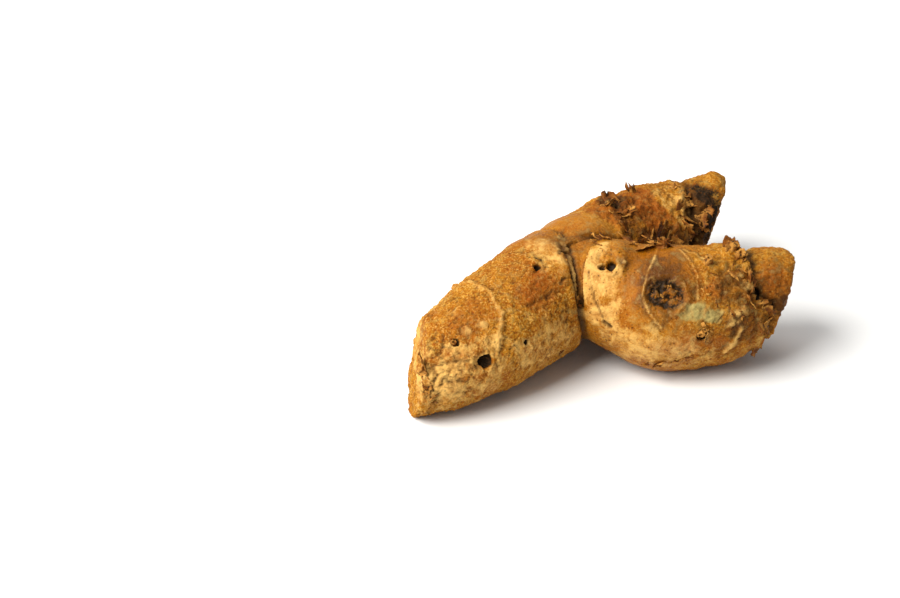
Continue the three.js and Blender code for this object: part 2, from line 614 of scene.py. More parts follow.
class NodeBoard:
    """A material's node tree, with short ways to lay nodes on it."""

    def __init__(self, name: str) -> None:
        """Start a material with an empty board and its object coordinates.

        Args:
            name: The material's name.
        """
        self.material = bpy.data.materials.new(name)
        self.material.use_nodes = True
        self.nodes = self.material.node_tree.nodes
        self.links = self.material.node_tree.links
        self.nodes.clear()
        self.place = self.nodes.new("ShaderNodeTexCoord").outputs["Object"]

    def join(self, socket: bpy.types.NodeSocket, value: object) -> None:
        """Link a socket, or set it to a plain value."""
        if isinstance(value, bpy.types.NodeSocket):
            self.links.new(value, socket)
        else:
            socket.default_value = value

    def attribute(self, tint: Tint) -> bpy.types.NodeSocket:
        """The strength of a tint on the skin."""
        node = self.nodes.new("ShaderNodeAttribute")
        node.attribute_name = tint.value
        return node.outputs["Fac"]

    def noise(
        self, scale: float, detail: float = 3.0, rough: float = 0.6, warp: float = 0.0
    ) -> bpy.types.NodeSocket:
        """Clouded noise over the piece.

        Args:
            scale: Blots to a metre.
            detail: Finer layers.
            rough: How strong the finer layers are.
            warp: How twisted the blots are.

        Returns:
            The noise, about 0 to 1.
        """
        node = self.nodes.new("ShaderNodeTexNoise")
        self.links.new(self.place, node.inputs["Vector"])
        node.inputs["Scale"].default_value = scale
        node.inputs["Detail"].default_value = detail
        node.inputs["Roughness"].default_value = rough
        node.inputs["Distortion"].default_value = warp
        return node.outputs["Fac"]

    def foam(self, scale: float, feature: str = "F1") -> bpy.types.NodeSocket:
        """Distance in a foam of cells.

        Args:
            scale: Cells to a metre.
            feature: F1 for the middle of a cell, DISTANCE_TO_EDGE for its walls.

        Returns:
            The distance, in cells.
        """
        node = self.nodes.new("ShaderNodeTexVoronoi")
        node.feature = feature
        self.links.new(self.place, node.inputs["Vector"])
        node.inputs["Scale"].default_value = scale
        return node.outputs["Distance"]

    def ramp(
        self, value: bpy.types.NodeSocket, low: float, high: float, start: float = 0.0,
        end: float = 1.0,
    ) -> bpy.types.NodeSocket:
        """Ease a value from start at low to end at high."""
        node = self.nodes.new("ShaderNodeMapRange")
        node.interpolation_type = "SMOOTHSTEP"
        self.join(node.inputs["Value"], value)
        node.inputs["From Min"].default_value = low
        node.inputs["From Max"].default_value = high
        node.inputs["To Min"].default_value = start
        node.inputs["To Max"].default_value = end
        return node.outputs["Result"]

    def sum(self, kind: str, first: object, second: object) -> bpy.types.NodeSocket:
        """One piece of arithmetic, such as ADD or MULTIPLY."""
        node = self.nodes.new("ShaderNodeMath")
        node.operation = kind
        self.join(node.inputs[0], first)
        self.join(node.inputs[1], second)
        return node.outputs["Value"]

    def mix(self, share: object, first: object, second: object) -> bpy.types.NodeSocket:
        """Blend from one colour to another."""
        node = self.nodes.new("ShaderNodeMix")
        node.data_type = "RGBA"
        self.join(node.inputs["Factor"], share)
        self.join(node.inputs[6], first)
        self.join(node.inputs[7], second)
        return node.outputs[2]

    def bump(
        self, height: bpy.types.NodeSocket, depth: float, strength: float, under: object = None
    ) -> bpy.types.NodeSocket:
        """Fine relief that the light sees.

        Args:
            height: The relief, 0 to 1.
            depth: How deep a full step is, in metres.
            strength: How strongly it shows.
            under: A coarser relief that it lies on.

        Returns:
            The bent normal.
        """
        node = self.nodes.new("ShaderNodeBump")
        node.inputs["Strength"].default_value = strength
        node.inputs["Distance"].default_value = depth
        self.join(node.inputs["Height"], height)
        if under is not None:
            self.join(node.inputs["Normal"], under)
        return node.outputs["Normal"]

    def finish(self, colour: object, roughness: object, normal: object) -> bpy.types.Material:
        """Close the board with one surface.

        Args:
            colour: Base colour.
            roughness: Roughness.
            normal: The bent normal.

        Returns:
            The finished material.
        """
        shader = self.nodes.new("ShaderNodeBsdfPrincipled")
        self.join(shader.inputs["Base Color"], colour)
        self.join(shader.inputs["Roughness"], roughness)
        self.join(shader.inputs["Normal"], normal)
        shader.inputs["Specular IOR Level"].default_value = GLOSS
        out = self.nodes.new("ShaderNodeOutputMaterial")
        self.links.new(shader.outputs["BSDF"], out.inputs["Surface"])
        return self.material


@dataclass(frozen=True)
class RhizomeSkinFinish:
    """Corky skin: pale grain over orange-brown, with stains, cracks, bare flesh and painted shade
    in its hollows.

    Attributes:
        straw, tan, amber, rust, umber, soot, cream, green: Its colours.
    """

    straw: tuple[float, ...] = linear(190, 136, 40)
    tan: tuple[float, ...] = linear(164, 106, 16)
    amber: tuple[float, ...] = linear(146, 84, 4)
    rust: tuple[float, ...] = linear(128, 58, 2)
    umber: tuple[float, ...] = linear(62, 32, 5)
    soot: tuple[float, ...] = linear(36, 23, 7)
    cream: tuple[float, ...] = linear(222, 174, 96)
    green: tuple[float, ...] = linear(156, 142, 84)

    def make(self) -> bpy.types.Material:
        """Lay out the nodes.

        Returns:
            The material.
        """
        board = NodeBoard("rhizome_skin")
        cork = board.attribute(Tint.CORK)
        hollow = board.attribute(Tint.HOLLOW_SHADE)
        grain = board.noise(3000.0, 4.0, 0.62, 0.2)
        blots = board.noise(560.0, 5.0, 0.68, 0.3)
        fields = board.noise(120.0, 4.0, 0.6, 0.3)
        walls = board.foam(1150.0, "DISTANCE_TO_EDGE")
        specks = board.foam(1500.0, "F1")
        # Broad drift from tan to amber, broken by straw-coloured blots.
        colour = board.mix(board.ramp(fields, 0.36, 0.64), self.tan, self.amber)
        colour = board.mix(board.ramp(blots, 0.47, 0.66), colour, self.straw)
        # Cork: pale grain on top, rusty between the grains.
        worn = board.sum("MAXIMUM", cork, 0.65)
        rusty = board.sum("MULTIPLY", board.ramp(grain, 0.5, 0.34), worn)
        colour = board.mix(board.sum("MULTIPLY", rusty, 0.85), colour, self.rust)
        light = board.sum("MULTIPLY", board.ramp(grain, 0.5, 0.68), worn)
        colour = board.mix(board.sum("MULTIPLY", light, 0.55), colour, self.cream)
        colour = board.mix(board.ramp(blots, 0.42, 0.26, 0.0, 0.5), colour, self.umber)
        # Fine crazing of the dry cork, here and there.
        crazed = board.sum("MULTIPLY", board.ramp(walls, 0.07, 0.0), board.ramp(blots, 0.42, 0.6))
        crazed = board.sum("MULTIPLY", crazed, worn)
        colour = board.mix(board.sum("MULTIPLY", crazed, 0.6), colour, self.umber)
        # Stains, each with an edge that the grain breaks up.
        for tint, shade, share in (
            (Tint.AMBER, self.amber, 0.85),
            (Tint.ORANGE, self.rust, 0.72),
            (Tint.BROWN, self.umber, 0.85),
            (Tint.FLESH, self.green, 0.85),
            (Tint.PALE, self.cream, 0.75),
        ):
            edge = board.sum("ADD", board.attribute(tint), board.ramp(blots, 0.3, 0.7, -0.3, 0.3))
            strength = board.sum("MULTIPLY", board.ramp(edge, 0.05, 0.95), share)
            colour = board.mix(strength, colour, shade)
        # Dark pores of the stretched skin.
        thinned = board.sum("ADD", specks, board.ramp(blots, 0.4, 0.62, 0.0, 0.22))
        pore = board.ramp(thinned, 0.34, 0.14)
        pore = board.sum("MULTIPLY", pore, board.attribute(Tint.PORES))
        colour = board.mix(board.sum("MULTIPLY", pore, 0.7), colour, self.umber)
        # Painted shade: umber in every hollow, by how deep it lies; the soot colour in scars and
        # cracks.
        colour = board.mix(board.sum("MULTIPLY", hollow, 0.5), colour, self.umber)
        char = board.sum("ADD", board.attribute(Tint.CHAR), board.ramp(grain, 0.3, 0.7, -0.3, 0.2))
        colour = board.mix(board.ramp(char, 0.1, 0.8), colour, self.soot)
        colour = board.mix(board.attribute(Tint.CRACK), colour, self.soot)
        glaze = board.attribute(Tint.GLAZE)
        rough = board.ramp(glaze, 0.0, 1.0, 0.72, 0.42)
        coarse = board.bump(board.ramp(walls, 0.0, 0.35), 0.10 * MM, 0.35)
        fine_height = board.sum("MULTIPLY", grain, board.ramp(cork, 0.0, 1.0, 0.5, 1.0))
        middle = board.bump(blots, 0.5 * MM, 0.45, coarse)
        fine = board.bump(fine_height, 0.3 * MM, 0.9, middle)
        return board.finish(colour, rough, fine)


# --------------------------------------------------------------------- the dressed rhizome


@dataclass
class RhizomeSkin:
    """The whole skin, worked from the CAD node.

    Attributes:
        net: Size of the faces it is grown from, in mm.
        rounding: How many times the net is eased, which rounds the fork and the breaks.
        marks: Everything carved and stained into it.
    """

    net: float = 0.25
    rounding: int = 22
    marks: list = field(default_factory=list)

    def build(self, node: bpy.types.Object) -> bpy.types.Object:
        """Grow the net, work the relief and dress it.

        Args:
            node: The CAD node that it stands for.

        Returns:
            The finished piece.
        """
        skin = self.copy_of(node)
        self.even_net(skin)
        field_ = self.read(skin)
        self.lay_ground(field_)
        for mark in self.marks:
            mark.mark(field_)
        self.write(skin, field_)
        skin.data.materials.clear()
        skin.data.materials.append(RhizomeSkinFinish().make())
        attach(skin, "root")
        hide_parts("rhizome")
        return skin

    def copy_of(self, node: bpy.types.Object) -> bpy.types.Object:
        """Copy the CAD node and merge its loose triangles."""
        bpy.ops.object.select_all(action="DESELECT")
        skin = bpy.data.objects.new("rhizome_skin", node.data.copy())
        bpy.context.scene.collection.objects.link(skin)
        skin.select_set(True)
        bpy.context.view_layer.objects.active = skin
        bpy.ops.object.mode_set(mode="EDIT")
        bpy.ops.mesh.select_all(action="SELECT")
        bpy.ops.mesh.remove_doubles(threshold=0.001 * MM)
        bpy.ops.object.mode_set(mode="OBJECT")
        return skin

    def even_net(self, skin: bpy.types.Object) -> None:
        """Replace its faces by a fine, even net and ease it."""
        remesh = skin.modifiers.new("net", "REMESH")
        remesh.mode = "VOXEL"
        remesh.voxel_size = self.net * MM
        remesh.use_smooth_shade = True
        bpy.ops.object.modifier_apply(modifier=remesh.name)
        ease = skin.modifiers.new("ease", "SMOOTH")
        ease.factor = 0.5
        ease.iterations = self.rounding // 1
        bpy.ops.object.modifier_apply(modifier=ease.name)

    def read(self, skin: bpy.types.Object) -> SkinField:
        """Read the net's points and normals, in millimetres."""
        count = len(skin.data.vertices)
        points = np.empty(count * 3)
        normals = np.empty(count * 3)
        skin.data.vertices.foreach_get("co", points)
        skin.data.vertices.foreach_get("normal", normals)
        LOG.info("skin net: %d points, %d faces", count, len(skin.data.polygons))
        return SkinField(points.reshape(-1, 3) / MM, normals.reshape(-1, 3))

    def lay_ground(self, skin: SkinField) -> None:
        """Give the bare skin its lumps, wrinkles and cork before the marks.

        Args:
            skin: The bare skin.
        """
        places = skin.points
        main = skin.of(MAIN)
        side = skin.of(SIDE)
        finger = main * (1.0 - soft_step(skin.along, 30.5, 33.0))
        neck = main * soft_step(skin.along, 31.5, 33.5) * (1.0 - soft_step(skin.along, 43.0, 49.0))
        arm = main * soft_step(skin.along, 44.0, 50.0)
        smooth = side * (1.0 - soft_step(skin.along, 19.0, 24.0))
        worn = side * soft_step(skin.along, 19.0, 24.0)
        tip = main * (1.0 - soft_step(skin.along, 8.0, 13.0))
        rough = finger + 0.1 * neck + 0.8 * arm + 0.12 * smooth + 0.75 * worn
        skin.height += 0.32 * cloud(places, 9.0, 1, 3)
        wrinkle = 1.0 - 2.2 * np.abs(cloud(places, 2.6, 2, 3))
        skin.height += 0.13 * wrinkle * rough
        pebble = cells(places, 0.85, 3)
        skin.height += 0.15 * (pebble - 0.5) * rough
        skin.height += 0.11 * cloud(places, 0.9, 4, 3) * (0.3 + rough)
        furrow = 1.0 - 2.4 * np.abs(cloud(places * (1.0, 0.6, 1.0), 2.2, 5, 3))
        skin.height += 0.2 * furrow * tip
        skin.add(Tint.CRACK, 0.3 * tip * soft_step(-furrow, 0.3, 1.1))
        skin.height += (0.22 * arm + 0.2 * worn) * cloud(places, 2.0, 6, 4)
        # Bark that has dried and split into small plates.
        plate = cells(places + 0.5 * cloud(places, 1.6, 9, 2)[:, None], 1.9, 8)
        split = 1.0 - soft_step(plate, 0.02, 0.16)
        split *= soft_step(cloud(places, 4.5, 10, 2), -0.3, 0.5)
        split *= finger + 0.4 * tip + 0.7 * arm + 0.8 * worn + 0.35 * smooth * (skin.round > 165.0)
        skin.height -= 0.13 * split
        skin.add(Tint.CRACK, 0.4 * split)
        skin.add(Tint.CORK, np.clip(rough, 0.0, 1.0))
        skin.add(Tint.AMBER, 0.55 * neck + 0.45 * smooth)
        skin.add(Tint.GLAZE, np.clip(0.9 * smooth + 0.7 * neck + 0.25 * worn, 0.0, 1.0))
        skin.add(Tint.PORES, np.clip(smooth + 0.5 * worn + 0.4 * neck, 0.0, 1.0))
        skin.add(Tint.BROWN, 0.5 * skin.fork)
        skin.height -= 0.8 * skin.seam
        skin.add(Tint.CRACK, 0.6 * skin.seam)
        cap = side * soft_step(skin.along, 31.5, 33.5)
        skin.add(Tint.PORES, cap)
        skin.wipe(Tint.CORK, 0.6 * cap)

    def write(self, skin: bpy.types.Object, marks: SkinField) -> None:
        """Put the relief and the tints on the mesh.

        Args:
            skin: The piece.
            marks: Its worked skin.
        """
        mesh = skin.data
        shift = np.clip(marks.height, DEEPEST, HIGHEST)
        places = marks.points + marks.normals * shift[:, None]
        low, high = (np.array(corner) / MM for corner in CAD_BOX)
        room = PROUD_SHARE * (high - low)
        places = np.clip(places, low - room, high + room)
        places[:, 2] = np.maximum(places[:, 2], 0.0)
        mesh.vertices.foreach_set("co", (places * MM).ravel())
        mesh.update()
        # Painted shade: each point's depth below its neighbours, darkened in the finish.
        marks.add(Tint.HOLLOW_SHADE, self.hollow_shade_depth(mesh, places))
        for tint, strength in marks.tints.items():
            layer = mesh.attributes.new(tint.value, "FLOAT", "POINT")
            layer.data.foreach_set("value", strength.astype(np.float32))
        for face in mesh.polygons:
            face.use_smooth = True

    def hollow_shade_depth(self, mesh: bpy.types.Mesh, places: np.ndarray) -> np.ndarray:
        """How deep each point lies below its neighbours, 0 to 1: painted shade for the hollows."""
        edges = np.empty(len(mesh.edges) * 2, dtype=np.int64)
        mesh.edges.foreach_get("vertices", edges)
        a, b = edges.reshape(-1, 2).T
        normals = np.empty(len(mesh.vertices) * 3)
        mesh.vertices.foreach_get("normal", normals)
        normals = normals.reshape(-1, 3)
        near = np.bincount(a, minlength=len(places)) + np.bincount(b, minlength=len(places))
        mean = places.copy()
        depth = np.zeros(len(places))
        for turn in range(1, 23):
            total = np.zeros_like(mean)
            for k in range(3):
                total[:, k] = np.bincount(a, mean[b, k], len(places))
                total[:, k] += np.bincount(b, mean[a, k], len(places))
            mean = total / near[:, None]
            if turn in (6, 22):
                below = ((mean - places) * normals).sum(axis=1)
                depth = np.maximum(depth, soft_step(below, 0.02, 0.1 + 0.007 * turn))
        return depth


@dataclass(frozen=True)
class Scrap:
    """One papery scrap of an old leaf scale, or a shred of bark.

    Attributes:
        branch: The arm that it sits on.
        along, round: Where it is rooted: mm along the arm, degrees round it.
        length, width: Its size, in mm.
        lean: How far it leans from the skin, in degrees: 90 stands straight out.
        turn: Which way it points: 0 along the arm, 90 round it.
        curl: How much it rolls up, in degrees over its length.
    """

    branch: Branch
    along: float
    round: float
    length: float
    width: float
    lean: float = 35.0
    turn: float = 0.0
    curl: float = 60.0


@dataclass
class ScaleScraps:
    """The scraps of leaf scales that cling to the rings and the fork.

    Attributes:
        name: What the piece is called.
        scraps: The scraps, each with its own place.
        thick: Thickness of a scrap, in mm.
        seated: How deep its root sits in the skin, in mm.
    """

    name: str
    scraps: list
    thick: float = 0.12
    seated: float = 0.35

    def build(self, ground: "Ground", finish: bpy.types.Material) -> bpy.types.Object:
        """Model each scrap, seat it in the skin and join them all.

        Args:
            ground: The skin that they sit in.
            finish: What they are dressed in.

        Returns:
            The piece.
        """
        made = [self.one(scrap, number, ground) for number, scrap in enumerate(self.scraps)]
        bpy.ops.object.select_all(action="DESELECT")
        for piece in made:
            piece.select_set(True)
        bpy.context.view_layer.objects.active = made[0]
        bpy.ops.object.join()
        piece = bpy.context.object
        piece.name = self.name
        piece.data.materials.clear()
        piece.data.materials.append(finish)
        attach(piece, "root")
        return piece

    def one(self, scrap: Scrap, number: int, ground: "Ground") -> bpy.types.Object:
        """Model one scrap.

        Args:
            scrap: Its sizes and place.
            number: Its number, which sets how its edges are torn.
            ground: The skin that it sits in.

        Returns:
            The scrap, in place.
        """
        bpy.ops.object.select_all(action="DESELECT")
        bpy.ops.mesh.primitive_grid_add(x_subdivisions=9, y_subdivisions=6, size=2.0)
        piece = bpy.context.object
        place, outward = ground.spot(scrap.branch, scrap.along, scrap.round)
        ahead = ground.ahead(scrap.branch, scrap.along)
        ahead = (ahead - outward * ahead.dot(outward)).normalized()
        across = outward.cross(ahead)
        turn = math.radians(scrap.turn)
        ahead, across = (
            ahead * math.cos(turn) + across * math.sin(turn),
            across * math.cos(turn) - ahead * math.sin(turn),
        )
        base = math.radians(scrap.lean)
        rolled = math.radians(scrap.curl)
        seat = place - outward * self.seated
        for vertex in piece.data.vertices:
            u = (vertex.co.x + 1.0) / 2.0
            v = vertex.co.y
            torn = noise.fractal(Vector((v * 2.2, number * 3.7, 1.0)), 0.8, 2.0, 3)
            bite = noise.fractal(Vector((u * 2.2, number * 1.3, v)), 0.8, 2.0, 3)
            run = u * scrap.length * (1.0 + 0.6 * torn)
            half = 0.5 * scrap.width * (1.0 - 0.35 * u**3 + 0.5 * bite)
            ripple = noise.fractal(Vector((u * 2.3, v * 1.4, number * 5.1)), 0.8, 2.0, 3)
            bend = base + rolled * u
            rise = run * math.sin(0.5 * (base + bend)) + 0.3 * ripple * u
            reach = run * math.cos(0.5 * (base + bend))
            cup = 0.06 * scrap.width * v * v * u
            spot = seat + ahead * reach + across * (v * half) + outward * (rise + cup)
            spot.z = max(spot.z, 0.1)
            vertex.co = spot * MM
        wall = piece.modifiers.new("wall", "SOLIDIFY")
        wall.thickness = self.thick * MM
        wall.offset = 0.0
        bpy.ops.object.modifier_apply(modifier=wall.name)
        bpy.ops.object.shade_smooth()
        return piece


class Ground:
    """The finished skin, asked for places to seat small pieces."""

    def __init__(self, skin: bpy.types.Object) -> None:
        """Read the skin's points.

        Args:
            skin: The finished skin.
        """
        count = len(skin.data.vertices)
        points = np.empty(count * 3)
        normals = np.empty(count * 3)
        skin.data.vertices.foreach_get("co", points)
        skin.data.vertices.foreach_get("normal", normals)
        self.points = points.reshape(-1, 3) / MM
        self.normals = normals.reshape(-1, 3)

    def spot(self, branch: Branch, along: float, round_: float) -> tuple[Vector, Vector]:
        """The place on the skin and the mean way that it looks, in mm."""
        wanted, _ = branch.spot(along, round_)
        away = ((self.points - wanted) ** 2).sum(axis=1)
        near = np.argsort(away)[:40]
        return Vector(self.points[near[0]]), Vector(self.normals[near].mean(axis=0)).normalized()

    def ahead(self, branch: Branch, along: float) -> Vector:
        """The way that a branch runs, at a length."""
        behind, _ = branch.spot(along - 1.0, 90.0)
        front, _ = branch.spot(along + 1.0, 90.0)
        return Vector(front - behind).normalized()


@dataclass
class RootStub:
    """The torn, hollow base of a root that came off.

    Attributes:
        name: What the piece is called.
        branch: The arm that it stands on.
        along, round: Its place: mm along the arm, degrees round it.
        radius: Its radius at the skin, in mm.
        height: How far it stands out, in mm.
        bore: Radius of its hollow, as a share of its own.
        seated: How deep it sits in the skin, in mm.
    """

    name: str
    branch: Branch
    along: float
    round: float
    radius: float
    height: float
    bore: float
    seated: float = 0.6

    def build(self, ground: "Ground", finish: bpy.types.Material) -> bpy.types.Object:
        """Model it from a cylinder: inset and sunk top, torn rim, then seat it.

        Args:
            ground: The skin that it sits in.
            finish: What it is dressed in.

        Returns:
            The piece.
        """
        place, outward = ground.spot(self.branch, self.along, self.round)
        bpy.ops.object.select_all(action="DESELECT")
        bpy.ops.mesh.primitive_cylinder_add(
            vertices=18, radius=self.radius * MM, depth=(self.height + self.seated) * MM
        )
        stub = bpy.context.object
        stub.name = self.name
        top = 0.5 * (self.height + self.seated) * MM
        bpy.ops.object.mode_set(mode="EDIT")
        bpy.ops.mesh.select_all(action="DESELECT")
        bpy.ops.object.mode_set(mode="OBJECT")
        for face in stub.data.polygons:
            face.select = face.normal.z > 0.9
        bpy.ops.object.mode_set(mode="EDIT")
        bpy.ops.mesh.inset(thickness=self.radius * (1.0 - self.bore) * MM, depth=0.0)
        bpy.ops.mesh.inset(thickness=0.02 * MM, depth=-0.8 * self.height * MM)
        bpy.ops.mesh.select_all(action="SELECT")
        bpy.ops.mesh.subdivide(number_cuts=2)
        bpy.ops.object.mode_set(mode="OBJECT")
        turn = outward.to_track_quat("Z", "Y").to_matrix()
        seat = place - outward * (self.seated - 0.5 * (self.height + self.seated))
        for vertex in stub.data.vertices:
            spot = vertex.co / MM
            up = (vertex.co.z + top) / (2.0 * top)
            lump = noise.fractal(spot * 1.1 + Vector((self.along, 0.0, 0.0)), 0.8, 2.0, 3)
            spot.xy = spot.xy * (1.15 - 0.3 * up + 0.5 * lump)
            spot.z += 0.25 * lump * up * self.height
            vertex.co = (seat + turn @ spot) * MM
        bpy.ops.object.shade_smooth_by_angle(angle=math.radians(50.0))
        stub.data.materials.append(finish)
        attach(stub, "root")
        return stub


@dataclass(frozen=True)
class PaperFinish:
    """Dry, thin scale: straw-coloured blots on burnt brown, with dark fibres.

    Attributes:
        pale, brown, dark: Its colours.
    """

    pale: tuple[float, ...] = linear(178, 124, 54)
    brown: tuple[float, ...] = linear(112, 62, 14)
    dark: tuple[float, ...] = linear(52, 28, 8)

    def make(self) -> bpy.types.Material:
        """Lay out the nodes.

        Returns:
            The material.
        """
        board = NodeBoard("dry_scale")
        fibre = board.noise(1700.0, 4.0, 0.65, 0.4)
        blots = board.noise(420.0, 3.0, 0.6, 0.2)
        colour = board.mix(board.ramp(blots, 0.42, 0.62), self.brown, self.pale)
        colour = board.mix(board.ramp(fibre, 0.5, 0.34), colour, self.dark)
        rough = board.ramp(fibre, 0.3, 0.7, 0.55, 0.75)
        return board.finish(colour, rough, board.bump(fibre, 0.15 * MM, 0.7))


# -------------------------------------------------------------------------------- studio


@dataclass(frozen=True)
class Studio:
    """White table, soft light from the front on the left, and the camera.

    Attributes:
        looks_at: What the camera points at, in mm.
        height_deg: How far the camera looks down.
        away: How far off the camera is, in mm.
        lens: Focal length, in mm.
    """

    looks_at: tuple[float, float, float] = (-24.66, -1.03, 7.66)
    height_deg: float = 30.0
    away: float = 412.5
    lens: float = 100.0

    def build(self) -> None:
        """Set up table, light and camera."""
        self.table()
        self.lights()
        self.camera()

    def camera(self) -> None:
        """Add the camera."""
        tilt = math.radians(self.height_deg)
        back = Vector((0.0, -math.cos(tilt), math.sin(tilt)))
        bpy.ops.object.camera_add(
            location=(Vector(self.looks_at) + back * self.away) * MM,
            rotation=(math.pi / 2.0 - tilt, 0.0, 0.0),
        )
        camera = bpy.context.object
        camera.data.lens = self.lens
        camera.data.sensor_width = 36.0
        camera.data.clip_start = 0.01
        bpy.context.scene.camera = camera

    def table(self) -> None:
        """Lay the white table."""
        bpy.ops.mesh.primitive_plane_add(size=4.0)
        table = bpy.context.object
        table.name = "table"
        board = NodeBoard("white_sweep")
        shader = board.nodes.new("ShaderNodeBsdfPrincipled")
        shader.inputs["Base Color"].default_value = (0.79, 0.79, 0.785, 1.0)
        shader.inputs["Roughness"].default_value = 0.85
        shader.inputs["Specular IOR Level"].default_value = 0.1
        out = board.nodes.new("ShaderNodeOutputMaterial")
        board.links.new(shader.outputs["BSDF"], out.inputs["Surface"])
        table.data.materials.append(board.material)

    def lights(self) -> None:
        """Hang the lamps and light the room."""
        self.lamp("window", (-360.0, -215.0, 420.0), 0.46, 7.7, (1.0, 0.99, 0.96))
        self.lamp("back_card", (-40.0, 330.0, 500.0), 0.4, 1.2, (1.0, 0.99, 0.97))
        scene = bpy.context.scene
        world = bpy.data.worlds.new("studio")
        world.use_nodes = True
        sky = world.node_tree.nodes["Background"]
        sky.inputs["Color"].default_value = (1.0, 1.0, 1.0, 1.0)
        sky.inputs["Strength"].default_value = 0.34
        scene.world = world
        scene.view_settings.view_transform = "Standard"
        scene.view_settings.look = "None"

    def lamp(
        self, name: str, place: tuple[float, float, float], size: float, watts: float,
        colour: tuple[float, float, float],
    ) -> None:
        """Hang one soft lamp that faces the rhizome.

        Args:
            name: What it is called.
            place: Where it hangs, in mm.
            size: Its side, in metres.
            watts: Its power.
            colour: Its colour.
        """
        at = Vector(place) * MM
        bpy.ops.object.light_add(type="AREA", location=at)
        lamp = bpy.context.object
        lamp.name = name
        lamp.data.energy = watts
        lamp.data.size = size
        lamp.data.color = colour
        lamp.rotation_euler = (-at).to_track_quat("-Z", "Y").to_euler()


